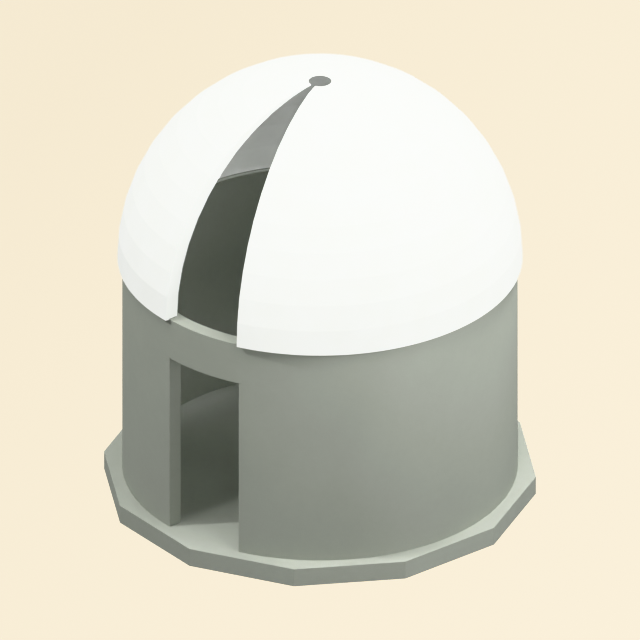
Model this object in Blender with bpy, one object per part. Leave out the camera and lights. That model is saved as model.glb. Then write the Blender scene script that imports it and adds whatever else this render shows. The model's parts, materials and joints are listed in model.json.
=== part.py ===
"""Observatory dome: a round building on a twelve-sided slab, with a hemispherical dome that turns on the wall.

Units are metres and +Z is up. The origin is the centre of the slab's underside. Azimuth is counted from the
doorway's direction, -Y, towards +X. The doorway and the slit of the dome both face -Y at rest.
"""
import math

import bmesh
import bpy
from mathutils import Vector

# Foundation slab, whose top is also the floor of the room
SLAB_RADIUS = 2.20
SLAB_HEIGHT = 0.20
SLAB_SIDES = 12

# Round wall
WALL_RADIUS = 2.00
WALL_THICKNESS = 0.15
WALL_HEIGHT = 2.40
WALL_SEGMENTS = 11

# Doorway and slit share the two radial planes that bound them
OPENING_HALF_ANGLE = math.radians(12.6)
DOOR_HEIGHT = 1.95

# The piece beside each opening: door jamb below, slit arch above
EDGE_ANGLE = math.radians(4.2)

# Dome shell: a hemisphere in flat courses, as thick along the horizontal at every height
DOME_RADIUS = 2.05
SHELL_THICKNESS = 0.15
COURSE_ANGLE = math.radians(7.5)
TOP_COURSE = 11
CROWN_HEIGHT = 0.010
GORES = 11
RIM_SECTIONS = 4

# The rim runs on shoes that stand on the wall, and clears the wall itself
RIM_CLEARANCE = 0.0053
LIP_WIDTH = 0.045
SHOE_COUNT = 6
SHOE_FIRST_AZIMUTH = math.radians(30.0)
SHOE_LENGTH = 0.16
SHOE_PAD_OUTER = 1.970
SHOE_GUIDE_INNER = 1.860
SHOE_GUIDE_OUTER = 1.888
SHOE_GUIDE_HEIGHT = 0.045

# Gap between pieces that touch, and the turn of one facet
SEAT_GAP = 0.0003
FACET_ANGLE = math.radians(5.0)

WALL_INNER_RADIUS = WALL_RADIUS - WALL_THICKNESS
WALL_TOP = SLAB_HEIGHT + WALL_HEIGHT
DOOR_HEAD = SLAB_HEIGHT + DOOR_HEIGHT
EDGE_OUTER_ANGLE = OPENING_HALF_ANGLE + EDGE_ANGLE
FULL_TURN = 2.0 * math.pi

CONCRETE = ("rendered_concrete", (0.31, 0.33, 0.28), 0.90)
GELCOAT = ("white_gelcoat", (0.90, 0.92, 0.89), 0.45)
SLIDE_PLASTIC = ("slide_plastic", (0.05, 0.05, 0.05), 0.50)


def clear_scene():
    """Remove every object that the file starts with."""
    for obj in list(bpy.data.objects):
        bpy.data.objects.remove(obj)


def make_material(name, color, roughness):
    """A plain opaque finish."""
    material = bpy.data.materials.new(name)
    material.use_nodes = True
    shader = material.node_tree.nodes["Principled BSDF"]
    shader.inputs["Base Color"].default_value = (*color, 1.0)
    shader.inputs["Roughness"].default_value = roughness
    shader.inputs["Metallic"].default_value = 0.0
    return material


def around(radius, azimuth, height):
    """Point at a radius and height, at an azimuth counted from -Y towards +X."""
    return Vector((radius * math.sin(azimuth), -radius * math.cos(azimuth), height))


def tangent(azimuth):
    """Level direction of growing azimuth."""
    return Vector((math.cos(azimuth), math.sin(azimuth), 0.0))


def add_object(name, bm, material, parent, collection):
    """Put a finished bmesh into the scene as one named object."""
    bmesh.ops.recalc_face_normals(bm, faces=bm.faces)
    mesh = bpy.data.meshes.new(name)
    bm.to_mesh(mesh)
    bm.free()
    mesh.materials.append(material)
    mesh.shade_smooth()
    mesh.set_sharp_from_angle(angle=math.radians(30.0))
    obj = bpy.data.objects.new(name, mesh)
    obj.parent = parent
    collection.objects.link(obj)
    return obj


def turned_bmesh(profile, start, end, joint_start=True, joint_end=True):
    """Turn a closed profile of (radius, height) points about Z from one azimuth to another.

    An end that meets a neighbour is drawn back by half the seat gap, so that both end faces stay parallel.
    """
    bm = bmesh.new()
    first = [bm.verts.new(around(radius, start, height)) for radius, height in profile]
    face = bm.faces.new(first)
    swept = bmesh.ops.spin(
        bm,
        geom=[face, *face.edges, *first],
        cent=(0.0, 0.0, 0.0),
        axis=(0.0, 0.0, 1.0),
        angle=end - start,
        steps=max(2, round((end - start) / FACET_ANGLE)),
    )
    last = [item for item in swept["geom_last"] if isinstance(item, bmesh.types.BMVert)]
    if joint_start:
        bmesh.ops.translate(bm, verts=first, vec=tangent(start) * SEAT_GAP / 2.0)
    if joint_end:
        bmesh.ops.translate(bm, verts=last, vec=tangent(end) * -SEAT_GAP / 2.0)
    return bm


def box_profile(inner, outer, low, high):
    """Rectangular profile between two radii and two heights."""
    return [(outer, high), (inner, high), (inner, low), (outer, low)]


def shell_point(course, inset=0.0):
    """Profile point (radius, height) at the top of a course, moved inwards by inset."""
    angle = course * COURSE_ANGLE
    return (DOME_RADIUS * math.cos(angle) - inset, DOME_RADIUS * math.sin(angle))


def shell_radius(height, inset=0.0):
    """Radius of the flat-coursed shell at a height, moved inwards by inset."""
    course = int(math.asin(height / DOME_RADIUS) / COURSE_ANGLE)
    (low_radius, low), (high_radius, high) = shell_point(course, inset), shell_point(course + 1, inset)
    return low_radius + (high_radius - low_radius) * (height - low) / (high - low)


def shell_profile(low, high):
    """Closed profile of the shell between two heights, up its outer side and down its inner side."""
    courses = [k for k in range(TOP_COURSE + 1) if low < shell_point(k)[1] < high]
    outer = [(shell_radius(low), low), *(shell_point(k) for k in courses), (shell_radius(high), high)]
    inner = [(radius - SHELL_THICKNESS, height) for radius, height in reversed(outer)]
    return outer + inner


def rim_profile():
    """Lowest course of the dome: its underside steps down outside the wall to a lip level with the wall's top."""
    lip = DOME_RADIUS - LIP_WIDTH
    return [
        (DOME_RADIUS, 0.0),
        shell_point(1),
        shell_point(1, SHELL_THICKNESS),
        (shell_radius(RIM_CLEARANCE, SHELL_THICKNESS), RIM_CLEARANCE),
        (lip, RIM_CLEARANCE),
        (lip, 0.0),
    ]


def crown_profile(low, high):
    """Flat plate round the eye, whose edges carry on the slopes of the top course."""
    return [
        (shell_radius(low), low),
        shell_point(TOP_COURSE),
        shell_point(TOP_COURSE, SHELL_THICKNESS),
        (shell_radius(low, SHELL_THICKNESS), low),
    ]


def shoe_profile():
    """Low pad under the rim with a guide that stands inside it."""
    pad_top = RIM_CLEARANCE - SEAT_GAP
    return [
        (SHOE_PAD_OUTER, pad_top),
        (SHOE_GUIDE_OUTER, pad_top),
        (SHOE_GUIDE_OUTER, SHOE_GUIDE_HEIGHT),
        (SHOE_GUIDE_INNER, SHOE_GUIDE_HEIGHT),
        (SHOE_GUIDE_INNER, SEAT_GAP),
        (SHOE_PAD_OUTER, SEAT_GAP),
    ]


def sectors(count, first, last):
    """Pairs of azimuths that split a turn into equal sectors."""
    step = (last - first) / count
    return [(first + step * k, first + step * (k + 1)) for k in range(count)]


def build_slab(material, parent, collection):
    """Twelve-sided slab with a corner on the doorway's axis."""
    bm = bmesh.new()
    bmesh.ops.create_cone(
        bm, cap_ends=True, segments=SLAB_SIDES, radius1=SLAB_RADIUS, radius2=SLAB_RADIUS, depth=SLAB_HEIGHT
    )
    bmesh.ops.translate(bm, verts=bm.verts, vec=(0.0, 0.0, SLAB_HEIGHT / 2.0))
    add_object("foundation_slab", bm, material, parent, collection)


def build_wall(material, parent, collection):
    """Round wall in full-height segments, with two jambs and a lintel at the doorway."""
    foot = SLAB_HEIGHT + SEAT_GAP
    full = box_profile(WALL_INNER_RADIUS, WALL_RADIUS, foot, WALL_TOP)
    pairs = sectors(WALL_SEGMENTS, EDGE_OUTER_ANGLE, FULL_TURN - EDGE_OUTER_ANGLE)
    for number, (start, end) in enumerate(pairs, start=1):
        bm = turned_bmesh(full, start, end)
        add_object(f"wall_segment_{number:02d}", bm, material, parent, collection)

    jamb = box_profile(WALL_INNER_RADIUS, WALL_RADIUS, foot, DOOR_HEAD - SEAT_GAP)
    bm = turned_bmesh(jamb, OPENING_HALF_ANGLE, EDGE_OUTER_ANGLE, joint_start=False)
    add_object("door_jamb_right", bm, material, parent, collection)
    bm = turned_bmesh(jamb, -EDGE_OUTER_ANGLE, -OPENING_HALF_ANGLE, joint_end=False)
    add_object("door_jamb_left", bm, material, parent, collection)

    lintel = box_profile(WALL_INNER_RADIUS, WALL_RADIUS, DOOR_HEAD, WALL_TOP)
    bm = turned_bmesh(lintel, -EDGE_OUTER_ANGLE, EDGE_OUTER_ANGLE)
    add_object("door_lintel", bm, material, parent, collection)


def build_shoes(material, parent, collection):
    """Shoes on the wall's top that carry the rim and keep it centred."""
    half = SHOE_LENGTH / WALL_RADIUS / 2.0
    profile = [(radius, WALL_TOP + height) for radius, height in shoe_profile()]
    for number in range(SHOE_COUNT):
        middle = SHOE_FIRST_AZIMUTH + FULL_TURN * number / SHOE_COUNT
        bm = turned_bmesh(profile, middle - half, middle + half, joint_start=False, joint_end=False)
        add_object(f"guide_shoe_{number + 1}", bm, material, parent, collection)


def build_dome(material, parent, collection):
    """Turning dome: rim sections, slit arches, gores and the crown, in heights above the wall's top."""
    rim_top = shell_point(1)[1]
    crown_top = shell_point(TOP_COURSE)[1]
    crown_low = crown_top - CROWN_HEIGHT

    pairs = sectors(RIM_SECTIONS, OPENING_HALF_ANGLE, FULL_TURN - OPENING_HALF_ANGLE)
    for number, (start, end) in enumerate(pairs, start=1):
        bm = turned_bmesh(
            rim_profile(), start, end, joint_start=number > 1, joint_end=number < RIM_SECTIONS
        )
        add_object(f"rim_section_{number}", bm, material, parent, collection)

    shell = shell_profile(rim_top + SEAT_GAP, crown_low - SEAT_GAP)
    bm = turned_bmesh(shell, OPENING_HALF_ANGLE, EDGE_OUTER_ANGLE, joint_start=False)
    add_object("slit_arch_right", bm, material, parent, collection)
    bm = turned_bmesh(shell, -EDGE_OUTER_ANGLE, -OPENING_HALF_ANGLE, joint_end=False)
    add_object("slit_arch_left", bm, material, parent, collection)
    pairs = sectors(GORES, EDGE_OUTER_ANGLE, FULL_TURN - EDGE_OUTER_ANGLE)
    for number, (start, end) in enumerate(pairs, start=1):
        bm = turned_bmesh(shell, start, end)
        add_object(f"dome_gore_{number:02d}", bm, material, parent, collection)

    crown = crown_profile(crown_low, crown_top)
    bm = turned_bmesh(crown, OPENING_HALF_ANGLE, FULL_TURN - OPENING_HALF_ANGLE, joint_start=False, joint_end=False)
    add_object("crown_ring", bm, material, parent, collection)


def add_empty(name, location, collection):
    """Empty that carries the pieces of one body."""
    empty = bpy.data.objects.new(name, None)
    empty.location = location
    collection.objects.link(empty)
    return empty


def main():
    clear_scene()
    collection = bpy.data.collections.new("observatory_dome")
    bpy.context.scene.collection.children.link(collection)
    concrete = make_material(*CONCRETE)
    gelcoat = make_material(*GELCOAT)
    slide_plastic = make_material(*SLIDE_PLASTIC)
    building = add_empty("building_frame", (0.0, 0.0, 0.0), collection)
    dome = add_empty("dome_axis", (0.0, 0.0, WALL_TOP), collection)
    build_slab(concrete, building, collection)
    build_wall(concrete, building, collection)
    build_shoes(slide_plastic, building, collection)
    build_dome(gelcoat, dome, collection)


main()
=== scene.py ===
"""Finish of an observatory dome: a round cement-rendered building on a twelve-sided slab, under a white dome.

Every length is in metres and +Z is up. Azimuth is counted from the doorway's direction, -Y, towards +X. A finished
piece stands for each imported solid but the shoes, which show themselves. The file can be read as a Blender add-on.
"""
import json
import math

import bpy
import numpy as np
from bpy.props import FloatProperty, FloatVectorProperty, IntProperty, PointerProperty
from bpy.types import Operator, Panel, PropertyGroup
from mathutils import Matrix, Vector

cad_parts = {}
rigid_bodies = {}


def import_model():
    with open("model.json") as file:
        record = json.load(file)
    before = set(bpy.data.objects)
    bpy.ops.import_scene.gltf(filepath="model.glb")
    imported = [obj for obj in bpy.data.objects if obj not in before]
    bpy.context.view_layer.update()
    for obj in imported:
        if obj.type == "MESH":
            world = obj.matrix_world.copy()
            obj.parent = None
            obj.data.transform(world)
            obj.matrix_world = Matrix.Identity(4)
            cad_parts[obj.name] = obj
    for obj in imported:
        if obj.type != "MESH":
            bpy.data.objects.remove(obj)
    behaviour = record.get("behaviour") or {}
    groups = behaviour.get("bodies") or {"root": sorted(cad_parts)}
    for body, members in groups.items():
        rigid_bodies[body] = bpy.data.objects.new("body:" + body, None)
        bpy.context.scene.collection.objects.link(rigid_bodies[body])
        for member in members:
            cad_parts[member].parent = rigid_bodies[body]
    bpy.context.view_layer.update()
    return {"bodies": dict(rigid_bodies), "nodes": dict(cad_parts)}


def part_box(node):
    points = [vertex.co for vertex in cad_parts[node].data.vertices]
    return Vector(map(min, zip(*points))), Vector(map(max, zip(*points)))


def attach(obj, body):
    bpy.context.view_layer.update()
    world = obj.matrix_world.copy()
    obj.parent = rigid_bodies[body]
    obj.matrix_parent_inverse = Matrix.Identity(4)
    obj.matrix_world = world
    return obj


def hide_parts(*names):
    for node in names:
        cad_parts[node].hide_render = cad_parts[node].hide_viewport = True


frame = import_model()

bl_info = {
    "name": "Observatory Dome",
    "version": (1, 0, 0),
    "blender": (4, 5, 0),
    "location": "3D View > Sidebar > Observatory",
    "description": "Builds the finished surfaces of a small observatory with a turning dome",
    "category": "Add Mesh",
}

SLAB_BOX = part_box("foundation_slab")
BACK_WALL_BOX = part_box("wall_segment_06")
BACK_RIM_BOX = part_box("rim_section_2")
LINTEL_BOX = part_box("door_lintel")
CROWN_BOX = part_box("crown_ring")
SHOES = [name for name in frame["nodes"] if name.startswith("guide_shoe")]

FULL_TURN = 2.0 * math.pi
# Number of the highest course line of the dome, level with the top of the flat crown
TOP_COURSE = 11
# Course lines nearer than this to an end of a profile are that end itself
HEIGHT_MARGIN = 1e-6
# A profile's corner that turns more than the first angle is a crease, and more than the second is rounded
CREASE_ANGLE = math.radians(1.0)
CORNER_ANGLE = math.radians(30.0)
# Facets across a rounded edge
ARRIS_SEGMENTS = 3
# Width of the margin beside the lintel's lower edges, in arris radii, and its profile's first side underneath
LINTEL_MARGIN = 3.0
LINTEL_UNDERSIDE = 5
# Depth below the wall's top where its painted shade begins and where it is full
TOP_SHADE_DEPTHS = (0.003, 0.001)

# The slab's finished piece, which some lamps light alone
SLAB_PIECE = "slab_and_floor"

# The picture's view: level turn and height of the camera, and the width and centre of what it shows
VIEW_AZIMUTH = math.radians(36.87)
VIEW_ELEVATION = math.radians(29.25)
VIEW_WIDTH = 6.468
VIEW_CENTRE = Vector((0.0, 0.0, 1.865))
CAMERA_DISTANCE = 20.0
FLOOR_SIZE = 400.0
# Linear light of the floor at two corners of the view
FLOOR_FAR_LEFT = (1.28, 1.14, 0.885)
FLOOR_NEAR_RIGHT = (2.05, 1.83, 1.43)

# Even light of the air, and soft boxes round the building: azimuth, height, distance, width and light given.
# Angles of lamps are in degrees.
AIR_STRENGTH = 0.314
LIGHT_AIM = Vector((0.0, 0.0, 2.0))
SOFT_BOXES = {
    "key_left": (-43.0, 42.0, 30.0, 0.8, 1.98),
    "box_overhead": (0.0, 90.0, 30.0, 0.8, 0.62),
    "box_high_left": (-53.13, 70.0, 30.0, 16.0, 1.55),
    "box_left": (-23.13, 45.0, 9.0, 2.25, 0.2),
    "box_in_front": (36.87, 15.0, 9.0, 2.25, 0.52),
    "box_front_right": (56.87, 15.0, 9.0, 2.25, 0.44),
    "box_high_front_right": (56.87, 60.0, 9.0, 2.25, 1.1),
    "box_right": (81.87, 30.0, 9.0, 2.25, 1.57),
    "box_low_right": (126.87, 15.0, 9.0, 2.25, 0.89),
    "box_high_right": (126.87, 75.0, 9.0, 2.25, 1.31),
    "box_behind_right": (141.87, 60.0, 9.0, 2.25, 3.6),
    "box_behind_left": (-113.13, 30.0, 9.0, 2.25, 0.8),
}
# Round lamps inside: place, radius and power
ROOM_LAMPS = {
    "lamp_in_dome": ((0.0, 0.0, 4.2), 0.2, 5.3),
    "lamp_in_room": ((0.9, -0.3, 2.2), 0.35, 29.0),
    "lamp_on_floor": ((-0.9, 0.9, 0.6), 0.3, 3.7),
}
# Colour of the lamps inside, a little bluer than daylight, as the walls they light are a little green
ROOM_LAMP_COLOUR = (0.95, 0.93, 1.0)
# Strips of light that lie along the far wall and shine down, on its ledge where the slit shows it and on the floor
# where the doorway shows it
LEDGE_STRIPS = {
    "azimuths": (234.0, 241.0, 248.0), "radius": 1.876, "height": 2.66,
    "long_side": 0.23, "short_side": 0.036, "spread": 60.0, "power": 0.024,
}
FLOOR_STRIPS = {
    "azimuths": (251.0, 260.5, 270.0), "radius": 1.77, "height": 0.55,
    "long_side": 0.25, "short_side": 0.05, "spread": 180.0, "power": 0.18,
}
# Narrow lamps that shine on the far wall's foot and on the front of the slab
FOOT_LAMP = {
    "azimuth": 74.0, "elevation": 31.0, "distance": 2.5, "width": 0.3, "light": 0.026,
    "aim": Vector((-1.7, 0.4, 0.35)), "spread": 60.0,
}
SLAB_LAMP = {
    "azimuth": 38.0, "elevation": 85.0, "distance": 3.0, "width": 0.3, "light": 0.06,
    "aim": Vector((1.27, -1.63, 0.2)), "spread": 40.0,
}


def linear_colour(hex_text):
    """Linear red, green and blue of an sRGB hex colour."""
    srgb = np.array([int(hex_text[k:k + 2], 16) for k in (0, 2, 4)]) / 255.0
    linear = np.where(srgb <= 0.04045, srgb / 12.92, ((srgb + 0.055) / 1.055) ** 2.4)
    return tuple(float(channel) for channel in linear)


def length(name, description, default):
    """Length property."""
    return FloatProperty(name=name, description=description, default=default, unit="LENGTH", precision=4)


def angle(name, description, degrees):
    """Angle property, whose default is given in degrees."""
    return FloatProperty(name=name, description=description, default=math.radians(degrees), subtype="ANGLE")


def count(name, description, default):
    """Whole-number property."""
    return IntProperty(name=name, description=description, default=default, min=1)


def colour(name, description, hex_text):
    """Colour property, whose default is given as sRGB hex."""
    return FloatVectorProperty(
        name=name, description=description, default=linear_colour(hex_text),
        size=3, subtype="COLOR", min=0.0, max=1.0,
    )


class ObservatorySizes(PropertyGroup):
    """Sizes of the building and the dome."""

    slab_radius: length("Slab radius", "From the axis to a corner of the slab", SLAB_BOX[1].y)
    slab_height: length("Slab height", "Thickness of the slab", SLAB_BOX[1].z)
    slab_sides: count("Slab sides", "Sides of the slab", 12)
    wall_radius: length("Wall radius", "Outer radius of the round wall", BACK_WALL_BOX[1].y)
    wall_thickness: length("Wall thickness", "Thickness of the round wall", 0.15)
    wall_top: length("Wall top", "Height of the wall's top above the ground", BACK_WALL_BOX[1].z)
    wall_segments: count("Wall segments", "Segments of the wall", 11)
    opening_half_angle: angle("Opening half angle", "From the middle of the doorway and slit to a side", 12.6)
    edge_angle: angle("Edge angle", "Width of a door jamb and of a slit arch", 4.2)
    door_head: length("Door head", "Height of the doorway's flat top above the ground", LINTEL_BOX[0].z)
    dome_radius: length("Dome radius", "Outer radius of the dome", BACK_RIM_BOX[1].y)
    shell_thickness: length("Shell thickness", "Thickness of the dome along the horizontal", 0.15)
    course_angle: angle("Course angle", "Height of one flat course, seen from the dome's centre", 7.5)
    crown_height: length("Crown height", "Thickness of the flat crown", CROWN_BOX[1].z - CROWN_BOX[0].z)
    gores: count("Gores", "Gores of the dome", 11)
    rim_sections: count("Rim sections", "Sections of the dome's rim", 4)
    rim_clearance: length("Rim clearance", "From the wall's top to the rim's underside", 0.0053)
    lip_width: length("Lip width", "Width of the rim's lip outside the wall", 0.045)
    render_arris: length("Render arris", "Radius of the cement-rendered edges", 0.003)
    shell_arris: length("Shell arris", "Radius of the dome's moulded edges", 0.002)
    facet_angle: angle("Facet angle", "Turn of one facet of a round surface", 1.0)


class ObservatoryColours(PropertyGroup):
    """Colours of the finishes."""

    render_light: colour("Render, light", "Lighter tone of the cement render", "94988f")
    render_dark: colour("Render, dark", "Darker tone of the cement render", "8f938a")
    # Painted shade: a darker tone painted on the wall's top, standing in for the shade of the dome and the sides of
    # its slit
    render_top_shade: colour("Render, worn", "Tone of the wall's top, where the dome slides", "878b82")
    gelcoat: colour("Gelcoat", "White of the dome", "f4f6f2")
    gelcoat_dust: colour("Gelcoat, dusty", "White of the dome under a thin film of dust", "eef0eb")
    slide_plastic: colour("Slide plastic", "Black of the shoes", "2b2c2c")


def add(tree, kind, inputs=None, **settings):
    """Add a node, set its attributes, and give each named input a value or a link from an output."""
    made = tree.nodes.new(kind)
    for key, value in settings.items():
        setattr(made, key, value)
    for key, value in (inputs or {}).items():
        if isinstance(value, bpy.types.NodeSocket):
            tree.links.new(value, made.inputs[key])
        else:
            made.inputs[key].default_value = value
    return made


def new_finish(make):
    """Plain node material named after the function that makes it, with its tree and its shader."""
    material = bpy.data.materials.new(make.__name__)
    material.use_nodes = True
    return material, material.node_tree, material.node_tree.nodes["Principled BSDF"]


def per_size(millimetres):
    """Texture scale whose pattern repeats about once in a real size."""
    return 1000.0 / millimetres


def rgba(colour_value):
    """Colour with full alpha."""
    return (*colour_value, 1.0)


def two_tones(tree, factor, low, high):
    """Blend by a factor of two tones, each a colour or an output."""
    low, high = (tone if isinstance(tone, bpy.types.NodeSocket) else rgba(tone) for tone in (low, high))
    return add(tree, "ShaderNodeMix", {0: factor, 6: low, 7: high}, data_type="RGBA").outputs[2]


def blended(tree, share, first, second):
    """First value with a share of the second."""
    return add(tree, "ShaderNodeMix", {0: share, 2: first, 3: second}).outputs[0]


def floated_cement_render(colours):
    """Cement render, floated by hand: dead matt, with a fine sand grain and soft clouds from uneven drying.

    The top of the wall is painted a little darker: painted shade, standing in for the shade that the dome and the
    sides of its slit cast there.
    """
    material, tree, shader = new_finish(floated_cement_render)
    place = add(tree, "ShaderNodeTexCoord").outputs["Object"]
    # Drying clouds are half a metre wide, and the float's sweeps a hand's width
    clouds = add(tree, "ShaderNodeTexNoise", {"Vector": place, "Scale": per_size(520), "Detail": 3.0})
    sweeps = add(tree, "ShaderNodeTexNoise", {"Vector": place, "Scale": per_size(90), "Detail": 4.0})
    # Sand grains of 2 mm, drawn 9 mm wide so that they show
    sand = add(tree, "ShaderNodeTexNoise", {"Vector": place, "Scale": per_size(9), "Detail": 2.0})
    drying = blended(tree, 0.4, clouds.outputs["Fac"], sweeps.outputs["Fac"])
    grain = blended(tree, 0.4, drying, sand.outputs["Fac"])
    tone = add(tree, "ShaderNodeMapRange", {"Value": grain, "From Min": 0.3, "From Max": 0.7})
    relief = add(tree, "ShaderNodeBump", {"Height": grain, "Strength": 0.25, "Distance": 0.002})
    height = add(tree, "ShaderNodeSeparateXYZ", {"Vector": place}).outputs["Z"]
    # Painted shade: the top few millimetres of the wall take a darker tone in place of real shade from the dome and
    # the slit's sides
    shade_from, shade_full = (BACK_WALL_BOX[1].z - depth for depth in TOP_SHADE_DEPTHS)
    top_shade = add(tree, "ShaderNodeMapRange", {"Value": height, "From Min": shade_from, "From Max": shade_full})
    shade = two_tones(tree, tone.outputs["Result"], colours.render_dark, colours.render_light)
    shade = two_tones(tree, top_shade.outputs["Result"], shade, colours.render_top_shade)
    tree.links.new(shade, shader.inputs["Base Color"])
    tree.links.new(relief.outputs["Normal"], shader.inputs["Normal"])
    shader.inputs["Roughness"].default_value = 0.92
    shader.inputs["Specular IOR Level"].default_value = 0.25
    return material


def moulded_white_gelcoat(colours):
    """White gelcoat on glass fibre, sprayed into a mould: satin, with faint orange peel and a film of dust."""
    material, tree, shader = new_finish(moulded_white_gelcoat)
    place = add(tree, "ShaderNodeTexCoord").outputs["Object"]
    # Dust lies in patches a third of a metre wide
    dust = add(tree, "ShaderNodeTexNoise", {"Vector": place, "Scale": per_size(350), "Detail": 3.0})
    # Orange peel of 3 mm, drawn 10 mm wide so that it shows
    peel = add(tree, "ShaderNodeTexNoise", {"Vector": place, "Scale": per_size(10), "Detail": 1.0})
    film = add(tree, "ShaderNodeMapRange", {"Value": dust.outputs["Fac"], "From Min": 0.35, "From Max": 0.65})
    relief = add(
        tree, "ShaderNodeBump", {"Height": peel.outputs["Fac"], "Strength": 0.08, "Distance": 0.0005}
    )
    roughness = add(
        tree, "ShaderNodeMapRange", {"Value": film.outputs["Result"], "To Min": 0.42, "To Max": 0.52}
    )
    shade = two_tones(tree, film.outputs["Result"], colours.gelcoat, colours.gelcoat_dust)
    tree.links.new(shade, shader.inputs["Base Color"])
    tree.links.new(roughness.outputs["Result"], shader.inputs["Roughness"])
    tree.links.new(relief.outputs["Normal"], shader.inputs["Normal"])
    shader.inputs["Specular IOR Level"].default_value = 0.4
    return material


def sawn_slide_plastic(colours):
    """Black slide plastic, sawn from a block: matt, with fine saw lines across it."""
    material, tree, shader = new_finish(sawn_slide_plastic)
    place = add(tree, "ShaderNodeTexCoord").outputs["Object"]
    # Saw lines of 1 mm, drawn 9 mm apart so that they show, because the node's waves are 0.31 of its unit apart
    lines = add(tree, "ShaderNodeTexWave", {"Vector": place, "Scale": per_size(30), "Distortion": 1.5})
    tone = add(tree, "ShaderNodeMapRange", {"Value": lines.outputs["Fac"], "To Min": 0.48, "To Max": 0.62})
    relief = add(
        tree, "ShaderNodeBump", {"Height": lines.outputs["Fac"], "Strength": 0.2, "Distance": 0.0005}
    )
    shader.inputs["Base Color"].default_value = rgba(colours.slide_plastic)
    tree.links.new(tone.outputs["Result"], shader.inputs["Roughness"])
    tree.links.new(relief.outputs["Normal"], shader.inputs["Normal"])
    return material


def finish(make):
    """Finish that is made once and then shared by every piece that asks for it."""
    return bpy.data.materials.get(make.__name__) or make(bpy.context.scene.observatory_colours)


def stops(facet, *azimuths):
    """Azimuths of a turned piece's rings: even steps of at most one facet between the given stops."""
    runs = [
        np.linspace(start, end, max(1, math.ceil((end - start) / facet)) + 1)[:-1]
        for start, end in zip(azimuths, azimuths[1:])
    ]
    return np.concatenate([*runs, azimuths[-1:]])


def turned_points(profile, azimuths):
    """Points of a profile turned about Z: a corner at azimuth a is at (radius sin a, -radius cos a, height)."""
    radius, height = np.array(profile).T
    sine, cosine = np.sin(azimuths)[:, None], np.cos(azimuths)[:, None]
    return np.stack([radius * sine, -radius * cosine, height + 0.0 * sine], axis=-1).reshape(-1, 3)


def turned_faces(rings, corners):
    """Quads between neighbouring rings, and the profile itself as a face at either end."""
    start = (np.arange(rings - 1) * corners)[:, None]
    corner = np.arange(corners)
    following = (corner + 1) % corners
    sides = [start + corner, start + corners + corner, start + corners + following, start + following]
    quads = np.stack(sides, axis=-1).reshape(-1, 4)
    last = (rings - 1) * corners + corner[::-1]
    return [*quads.tolist(), corner.tolist(), last.tolist()]


def corner_turns(profile):
    """Angle by which a closed profile turns at each of its corners."""
    points = np.array(profile)
    ahead = np.roll(points, -1, axis=0) - points
    heading = np.arctan2(ahead[:, 1], ahead[:, 0])
    turn = heading - np.roll(heading, 1)
    return np.abs((turn + math.pi) % FULL_TURN - math.pi)


def edge_ends(mesh):
    """The two vertex numbers of each edge."""
    pairs = np.empty(2 * len(mesh.edges), dtype=np.int32)
    mesh.edges.foreach_get("vertices", pairs)
    return pairs.reshape(-1, 2)


def set_edges(mesh, rounded, sharp):
    """Keep with the mesh which edges the arris rounds and which stay sharp."""
    weights = mesh.attributes.new("bevel_weight_edge", "FLOAT", "EDGE")
    weights.data.foreach_set("value", rounded.astype(np.float32))
    creases = mesh.attributes.new("sharp_edge", "BOOLEAN", "EDGE")
    creases.data.foreach_set("value", sharp)


def mark_edges(mesh, profile, rings, free_faces, free_ends):
    """Mark the edges that are rounded, where both faces beside them are free, and the creases that stay sharp.

    free_faces has a row for each step between rings and a column for each side of the profile.
    """
    corners = len(profile)
    ring, corner = np.divmod(edge_ends(mesh), corners)
    along = ring[:, 0] != ring[:, 1]
    step = np.minimum(ring.min(axis=1), rings - 2)
    side = np.where((corner[:, 0] + 1) % corners == corner[:, 1], corner[:, 0], corner[:, 1])
    turn = corner_turns(profile)[corner[:, 0]]

    both_free = free_faces[step, corner[:, 0]] & free_faces[step, corner[:, 0] - 1]
    at_start, at_end = ~along & (ring[:, 0] == 0), ~along & (ring[:, 0] == rings - 1)
    free_cap = (at_start & free_ends[0]) | (at_end & free_ends[1])
    rounded = (along & (turn > CORNER_ANGLE) & both_free) | (free_cap & free_faces[step, side])
    set_edges(mesh, rounded, ~rounded & ((along & (turn > CREASE_ANGLE)) | at_start | at_end))


def add_piece(name, mesh, arris, material, body, node):
    """Finish a mesh with rounded edges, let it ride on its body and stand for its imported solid."""
    mesh.shade_smooth()
    mesh.materials.append(material)
    piece = bpy.data.objects.new(name, mesh)
    bpy.context.scene.collection.objects.link(piece)
    rounding = piece.modifiers.new("arris", "BEVEL")
    rounding.width = arris
    rounding.segments = ARRIS_SEGMENTS
    rounding.limit_method = "WEIGHT"
    shading = piece.modifiers.new("even_shading", "WEIGHTED_NORMAL")
    shading.keep_sharp = True
    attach(piece, body)
    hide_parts(node)


def turned_piece(name, profile, azimuths, free_sides, free_ends, arris, material, body, node):
    """Closed piece turned about Z, whose free sides and ends get rounded edges."""
    rings, corners = len(azimuths), len(profile)
    mesh = bpy.data.meshes.new(name)
    mesh.from_pydata(turned_points(profile, azimuths).tolist(), [], turned_faces(rings, corners))
    free_faces = np.broadcast_to(np.array(free_sides, dtype=bool), (rings - 1, corners))
    mark_edges(mesh, profile, rings, free_faces, free_ends)
    add_piece(name, mesh, arris, material, body, node)


def box_profile(inner, outer, low, high):
    """Rectangle between two radii and two heights: its sides are the outer, the top, the inner and the bottom."""
    return [(outer, low), (outer, high), (inner, high), (inner, low)]


def lintel_profile(inner, outer, low, high, margin):
    """The same rectangle with a margin of its own beside each lower edge, so that the shading turns only there.

    Its sides are the outer in two parts, the top, the inner in two parts, and the bottom in three parts.
    """
    outside = [(outer, low), (outer, low + margin), (outer, high)]
    inside = [(inner, high), (inner, low + margin), (inner, low)]
    underside = [(inner + margin, low), (outer - margin, low)]
    return outside + inside + underside


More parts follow.
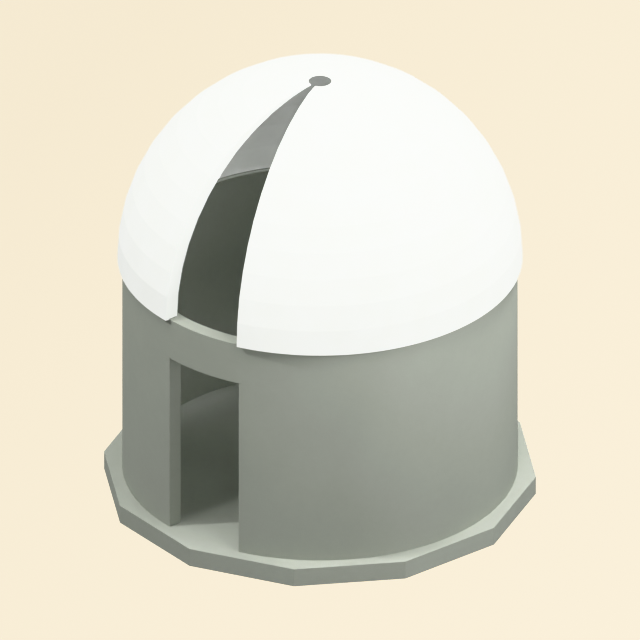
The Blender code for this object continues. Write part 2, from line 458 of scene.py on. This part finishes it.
def sectors(number, first, last):
    """Pairs of azimuths that split a turn into equal sectors."""
    edges = np.linspace(first, last, number + 1)
    return list(zip(edges[:-1], edges[1:]))


def shell_line(sizes):
    """Radius and height at each course line of the dome, between which its courses are flat.

    Line n stands n course angles up a circle of the dome's radius, whose centre is level with the wall's top: its
    radius is the circle's times the cosine, and its height above that centre is the circle's times the sine.
    """
    turned = np.arange(TOP_COURSE + 1) * sizes.course_angle
    return sizes.dome_radius * np.cos(turned), sizes.wall_top + sizes.dome_radius * np.sin(turned)


def shell_profile(sizes, low, high):
    """Closed profile of the shell between two heights.

    It runs up the flat courses of the outer side, and down the inner side, which is the same line moved level
    towards the axis by the shell's thickness.
    """
    line_radius, line_height = shell_line(sizes)
    between = line_height[(line_height > low + HEIGHT_MARGIN) & (line_height < high - HEIGHT_MARGIN)]
    heights = np.array([low, *between, high])
    radii = np.interp(heights, line_height, line_radius)
    outer = list(zip(radii, heights))
    inner = list(zip(radii - sizes.shell_thickness, heights))
    return outer + inner[::-1]


class ObservatoryOperator:
    """What the operators share."""

    bl_options = {"REGISTER", "UNDO"}

    @classmethod
    def poll(cls, context):
        return "building" in frame["bodies"] and "dome" in frame["bodies"]


class OBSERVATORY_OT_slab(ObservatoryOperator, Operator):
    """Add the twelve-sided slab, whose top is also the floor inside"""

    bl_idname = "observatory.slab"
    bl_label = "Slab"

    def execute(self, context):
        sizes = context.scene.observatory_sizes
        sides = sizes.slab_sides
        # Corner k is at k equal parts of a turn, once on the ground and once at the slab's height
        azimuths = np.arange(sides) * FULL_TURN / sides
        points = turned_points([(sizes.slab_radius, 0.0), (sizes.slab_radius, sizes.slab_height)], azimuths)
        low, high = 2 * np.arange(sides), 2 * np.arange(sides) + 1
        walls = np.stack([low, np.roll(low, -1), np.roll(high, -1), high], axis=-1)
        mesh = bpy.data.meshes.new(SLAB_PIECE)
        mesh.from_pydata(points.tolist(), [], [*walls.tolist(), low[::-1].tolist(), high.tolist()])
        # Odd corners are at the top: every edge is rounded but those that lie on the ground
        rounded = (edge_ends(mesh) % 2 == 1).any(axis=1)
        set_edges(mesh, rounded, ~rounded)
        add_piece(
            SLAB_PIECE, mesh, sizes.render_arris, finish(floated_cement_render),
            "building", "foundation_slab",
        )
        return {"FINISHED"}


class OBSERVATORY_OT_wall(ObservatoryOperator, Operator):
    """Add the segments of the round wall"""

    bl_idname = "observatory.wall"
    bl_label = "Round wall"

    def execute(self, context):
        sizes = context.scene.observatory_sizes
        inner = sizes.wall_radius - sizes.wall_thickness
        profile = box_profile(inner, sizes.wall_radius, sizes.slab_height, sizes.wall_top)
        bay = sizes.opening_half_angle + sizes.edge_angle
        # Every side is free but the bottom, which stands on the slab
        for number, (start, end) in enumerate(sectors(sizes.wall_segments, bay, FULL_TURN - bay), start=1):
            turned_piece(
                f"round_wall_{number:02d}", profile, stops(sizes.facet_angle, start, end),
                [True, True, True, False], (False, False), sizes.render_arris, finish(floated_cement_render),
                "building", f"wall_segment_{number:02d}",
            )
        return {"FINISHED"}


class OBSERVATORY_OT_doorway(ObservatoryOperator, Operator):
    """Add the wall beside and over the doorway"""

    bl_idname = "observatory.doorway"
    bl_label = "Doorway"

    def execute(self, context):
        sizes = context.scene.observatory_sizes
        inner = sizes.wall_radius - sizes.wall_thickness
        opening = sizes.opening_half_angle
        bay = opening + sizes.edge_angle
        jamb = box_profile(inner, sizes.wall_radius, sizes.slab_height, sizes.door_head)
        # A jamb is free outside, inside and at the end beside the opening
        for side, span, free_ends in (
            ("right", (opening, bay), (True, False)),
            ("left", (-bay, -opening), (False, True)),
        ):
            turned_piece(
                f"doorway_{side}_jamb", jamb, stops(sizes.facet_angle, *span),
                [True, False, True, False], free_ends, sizes.render_arris, finish(floated_cement_render),
                "building", f"door_jamb_{side}",
            )
        azimuths = stops(sizes.facet_angle, -bay, -opening, opening, bay)
        middles = (azimuths[1:] + azimuths[:-1]) / 2.0
        profile = lintel_profile(
            inner, sizes.wall_radius, sizes.door_head, sizes.wall_top, LINTEL_MARGIN * sizes.render_arris
        )
        # The lintel's underside is free over the opening, and stands on the jambs beside it
        free_sides = np.ones((len(middles), len(profile)), dtype=bool)
        free_sides[:, LINTEL_UNDERSIDE:] = (np.abs(middles) < opening)[:, None]
        turned_piece(
            "doorway_lintel", profile, azimuths, free_sides, (False, False), sizes.render_arris,
            finish(floated_cement_render), "building", "door_lintel",
        )
        return {"FINISHED"}


class OBSERVATORY_OT_shoes(ObservatoryOperator, Operator):
    """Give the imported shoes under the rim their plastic"""

    bl_idname = "observatory.shoes"
    bl_label = "Slide shoes"

    def execute(self, context):
        for name in SHOES:
            shoe = frame["nodes"][name]
            shoe.data.materials.clear()
            shoe.data.materials.append(finish(sawn_slide_plastic))
        return {"FINISHED"}


class OBSERVATORY_OT_rim(ObservatoryOperator, Operator):
    """Add the sections of the dome's rim, which is open at the slit"""

    bl_idname = "observatory.rim"
    bl_label = "Dome rim"

    def execute(self, context):
        sizes = context.scene.observatory_sizes
        lip = sizes.dome_radius - sizes.lip_width
        underside = sizes.wall_top + sizes.rim_clearance
        outer_low, outer_high, inner_high, inner_low = shell_profile(
            sizes, sizes.wall_top, shell_line(sizes)[1][1]
        )
        inner_foot, lip_top, lip_foot = (inner_low[0], underside), (lip, underside), (lip, outer_low[1])
        profile = [outer_low, outer_high, inner_high, inner_foot, lip_top, lip_foot]
        opening, last = sizes.opening_half_angle, sizes.rim_sections
        # Every side is free but the top, which carries the shell
        for number, (start, end) in enumerate(sectors(last, opening, FULL_TURN - opening), start=1):
            turned_piece(
                f"dome_rim_{number}", profile, stops(sizes.facet_angle, start, end),
                [True, False, True, True, True, True], (number == 1, number == last), sizes.shell_arris,
                finish(moulded_white_gelcoat), "dome", f"rim_section_{number}",
            )
        return {"FINISHED"}


class OBSERVATORY_OT_shell(ObservatoryOperator, Operator):
    """Add the gores of the dome and the two arches beside the slit"""

    bl_idname = "observatory.shell"
    bl_label = "Dome shell"

    def execute(self, context):
        sizes = context.scene.observatory_sizes
        line_height = shell_line(sizes)[1]
        profile = shell_profile(sizes, line_height[1], line_height[-1] - sizes.crown_height)
        # Every side is free but the top, which meets the crown, and the bottom, which meets the rim
        free_sides = [True] * len(profile)
        free_sides[len(profile) // 2 - 1] = False
        free_sides[-1] = False
        opening = sizes.opening_half_angle
        bay = opening + sizes.edge_angle
        spans = [
            ("slit_edge_right", "slit_arch_right", (opening, bay), (True, False)),
            ("slit_edge_left", "slit_arch_left", (-bay, -opening), (False, True)),
        ]
        for number, span in enumerate(sectors(sizes.gores, bay, FULL_TURN - bay), start=1):
            spans.append((f"shell_gore_{number:02d}", f"dome_gore_{number:02d}", span, (False, False)))
        for name, node, span, free_ends in spans:
            turned_piece(
                name, profile, stops(sizes.facet_angle, *span), free_sides, free_ends,
                sizes.shell_arris, finish(moulded_white_gelcoat), "dome", node,
            )
        return {"FINISHED"}


class OBSERVATORY_OT_crown(ObservatoryOperator, Operator):
    """Add the flat crown round the eye of the dome"""

    bl_idname = "observatory.crown"
    bl_label = "Crown"

    def execute(self, context):
        sizes = context.scene.observatory_sizes
        top = shell_line(sizes)[1][-1]
        opening = sizes.opening_half_angle
        # Every side is free but the bottom, which lies on the shell
        turned_piece(
            "crown_plate", shell_profile(sizes, top - sizes.crown_height, top),
            stops(sizes.facet_angle, opening, FULL_TURN - opening), [True, True, True, False], (True, True),
            sizes.shell_arris, finish(moulded_white_gelcoat), "dome", "crown_ring",
        )
        return {"FINISHED"}


def direction(azimuth, elevation):
    """Unit vector towards an azimuth and a height above the horizon, both in radians."""
    level = math.cos(elevation)
    return Vector((math.sin(azimuth) * level, -math.cos(azimuth) * level, math.sin(elevation)))


def cream_studio_floor():
    """Floor that gives its own cream light, a little more of it towards the right and the front of the view."""
    material = bpy.data.materials.new("cream_studio_floor")
    material.use_nodes = True
    tree = material.node_tree
    tree.nodes.clear()
    right = direction(VIEW_AZIMUTH + math.pi / 2.0, 0.0)
    front = direction(VIEW_AZIMUTH, 0.0) * math.sin(VIEW_ELEVATION)
    place = add(tree, "ShaderNodeTexCoord").outputs["Object"]
    across = add(tree, "ShaderNodeVectorMath", {0: place, 1: right + front}, operation="DOT_PRODUCT")
    span = add(
        tree, "ShaderNodeMapRange",
        {"Value": across.outputs["Value"], "From Min": -VIEW_WIDTH, "From Max": VIEW_WIDTH},
    )
    cream = two_tones(tree, span.outputs["Result"], FLOOR_FAR_LEFT, FLOOR_NEAR_RIGHT)
    glow = add(tree, "ShaderNodeEmission", {"Color": cream, "Strength": 1.0})
    add(tree, "ShaderNodeOutputMaterial", {"Surface": glow.outputs["Emission"]})
    return material


def add_floor(scene):
    """Wide level floor under the building, which takes no shadow and lights nothing."""
    half = FLOOR_SIZE / 2.0
    mesh = bpy.data.meshes.new("studio_floor")
    corners = [(-half, -half, 0.0), (half, -half, 0.0), (half, half, 0.0), (-half, half, 0.0)]
    mesh.from_pydata(corners, [], [(0, 1, 2, 3)])
    mesh.materials.append(cream_studio_floor())
    floor = bpy.data.objects.new("studio_floor", mesh)
    floor.visible_diffuse = False
    floor.visible_glossy = False
    floor.visible_shadow = False
    scene.collection.objects.link(floor)


def add_air(scene):
    """Even white light from every side."""
    scene.world = bpy.data.worlds.new("studio_air")
    scene.world.use_nodes = True
    air = scene.world.node_tree.nodes["Background"]
    air.inputs["Color"].default_value = (1.0, 1.0, 1.0, 1.0)
    air.inputs["Strength"].default_value = AIR_STRENGTH


def add_lamp(name, kind, power, place):
    """Lamp that the picture doesn't show, in the air or as a reflection."""
    lamp = bpy.data.objects.new(name, bpy.data.lights.new(name, kind))
    lamp.data.energy = power
    lamp.location = place
    lamp.visible_camera = False
    lamp.visible_glossy = False
    bpy.context.scene.collection.objects.link(lamp)
    return lamp


def add_room_lamp(name, place, radius, power):
    """Round lamp inside the building."""
    lamp = add_lamp(name, "POINT", power, place)
    lamp.data.shadow_soft_size = radius
    lamp.data.color = ROOM_LAMP_COLOUR


def add_strips(name, azimuths, radius, height, long_side, short_side, spread, power):
    """Strips of light that lie along a circle round the axis and shine down."""
    strips = []
    for number, azimuth in enumerate(azimuths, 1):
        place = direction(math.radians(azimuth), 0.0) * radius + Vector((0.0, 0.0, height))
        strip = add_lamp(f"{name}_{number}", "AREA", power, place)
        strip.data.shape = "RECTANGLE"
        strip.data.size = long_side
        strip.data.size_y = short_side
        strip.data.spread = math.radians(spread)
        strip.data.color = ROOM_LAMP_COLOUR
        strip.rotation_euler.z = math.radians(azimuth)
        strips.append(strip)
    return strips


def add_soft_box(name, azimuth, elevation, distance, width, light, aim=LIGHT_AIM, spread=180.0):
    """Round soft box that is aimed at a point from an azimuth, a height and a distance.

    Its light is what falls on that point, in watts a square metre, with the full spread of 180 degrees, so its power
    is pi times that, times the distance squared.
    """
    towards = direction(math.radians(azimuth), math.radians(elevation))
    box = add_lamp(name, "AREA", math.pi * light * distance ** 2, aim + towards * distance)
    box.data.shape = "DISK"
    box.data.size = width
    box.data.spread = math.radians(spread)
    box.rotation_mode = "QUATERNION"
    box.rotation_quaternion = towards.to_track_quat("Z", "Y")
    return box


def add_lights():
    """Soft boxes round the building, lamps inside it, and lamps that light the slab alone."""
    for name, setting in SOFT_BOXES.items():
        add_soft_box(name, *setting)
    for name, setting in ROOM_LAMPS.items():
        add_room_lamp(name, *setting)
    add_soft_box("foot_lamp", **FOOT_LAMP)
    add_strips("ledge_strip", **LEDGE_STRIPS)
    slab_alone = bpy.data.collections.new("lit_slab")
    slab_alone.objects.link(bpy.data.objects[SLAB_PIECE])
    for lamp in (add_soft_box("slab_lamp", **SLAB_LAMP), *add_strips("floor_strip", **FLOOR_STRIPS)):
        lamp.light_linking.receiver_collection = slab_alone


def add_camera(scene):
    """Camera at the picture's view, with no perspective."""
    lens = bpy.data.cameras.new("picture_view")
    lens.type = "ORTHO"
    lens.ortho_scale = VIEW_WIDTH
    camera = bpy.data.objects.new("picture_view", lens)
    back = direction(VIEW_AZIMUTH, VIEW_ELEVATION)
    camera.location = VIEW_CENTRE + back * CAMERA_DISTANCE
    camera.rotation_mode = "QUATERNION"
    camera.rotation_quaternion = back.to_track_quat("Z", "Y")
    scene.collection.objects.link(camera)
    scene.camera = camera


class OBSERVATORY_OT_stage(ObservatoryOperator, Operator):
    """Add the studio: its floor, its soft light and the camera at the picture's view"""

    bl_idname = "observatory.stage"
    bl_label = "Studio"

    def execute(self, context):
        scene = context.scene
        add_floor(scene)
        add_air(scene)
        add_lights()
        add_camera(scene)
        scene.view_settings.view_transform = "Khronos PBR Neutral"
        return {"FINISHED"}


STEPS = (
    OBSERVATORY_OT_slab, OBSERVATORY_OT_wall, OBSERVATORY_OT_doorway, OBSERVATORY_OT_shoes, OBSERVATORY_OT_rim,
    OBSERVATORY_OT_shell, OBSERVATORY_OT_crown, OBSERVATORY_OT_stage,
)


class OBSERVATORY_PT_panel(Panel):
    """Sizes, colours and pieces of the observatory"""

    bl_idname = "OBSERVATORY_PT_panel"
    bl_label = "Observatory dome"
    bl_space_type = "VIEW_3D"
    bl_region_type = "UI"
    bl_category = "Observatory"

    def draw(self, context):
        for group in (context.scene.observatory_sizes, context.scene.observatory_colours):
            column = self.layout.column(align=True)
            for name in group.__annotations__:
                column.prop(group, name)
        column = self.layout.column(align=True)
        for step in STEPS:
            column.operator(step.bl_idname)


CLASSES = (ObservatorySizes, ObservatoryColours, *STEPS, OBSERVATORY_PT_panel)


def register():
    """Register the classes and hang the two property groups on the scene."""
    for item in CLASSES:
        bpy.utils.register_class(item)
    bpy.types.Scene.observatory_sizes = PointerProperty(type=ObservatorySizes)
    bpy.types.Scene.observatory_colours = PointerProperty(type=ObservatoryColours)


def unregister():
    """Take away what register added."""
    del bpy.types.Scene.observatory_colours
    del bpy.types.Scene.observatory_sizes
    for item in reversed(CLASSES):
        bpy.utils.unregister_class(item)


def main():
    """Build every piece and the studio."""
    register()
    bpy.ops.observatory.slab()
    bpy.ops.observatory.wall()
    bpy.ops.observatory.doorway()
    bpy.ops.observatory.shoes()
    bpy.ops.observatory.rim()
    bpy.ops.observatory.shell()
    bpy.ops.observatory.crown()
    bpy.ops.observatory.stage()


if __name__ == "__main__":
    main()
